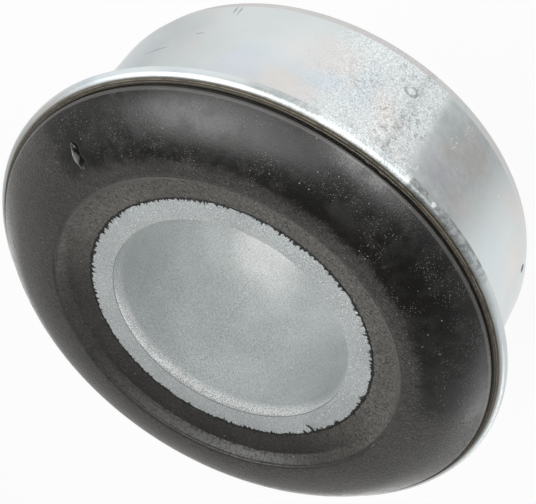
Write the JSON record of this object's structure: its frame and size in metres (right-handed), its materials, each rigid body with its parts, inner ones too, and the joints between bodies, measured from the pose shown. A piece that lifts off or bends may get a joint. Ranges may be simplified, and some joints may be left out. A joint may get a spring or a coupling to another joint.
{
  "type": "flanged rubber-metal bush",
  "caption": "Flanged rubber-metal bush: plated outer sleeve, thick-walled inner sleeve with an open bore, and a bonded rubber body with a domed front bead.",
  "frame": {"origin": "centre of the inner sleeve's rear end face, on which the bush stands", "axes": "+Z along the bore's axis, from the rear end to the flange and the rubber bead"},
  "size_m": [0.09, 0.09, 0.0397],
  "materials": {
    "zinc_plated_steel": "bright zinc plating with a faint iridescence",
    "black_rubber": "moulded, satin",
    "blasted_steel": "grit-blasted and plated, matt with fine sparkle"
  },
  "bodies": {
    "root": {"outer_sleeve": "zinc_plated_steel", "rubber_body": "black_rubber", "inner_sleeve": "blasted_steel"}
  },
  "joints": []
}
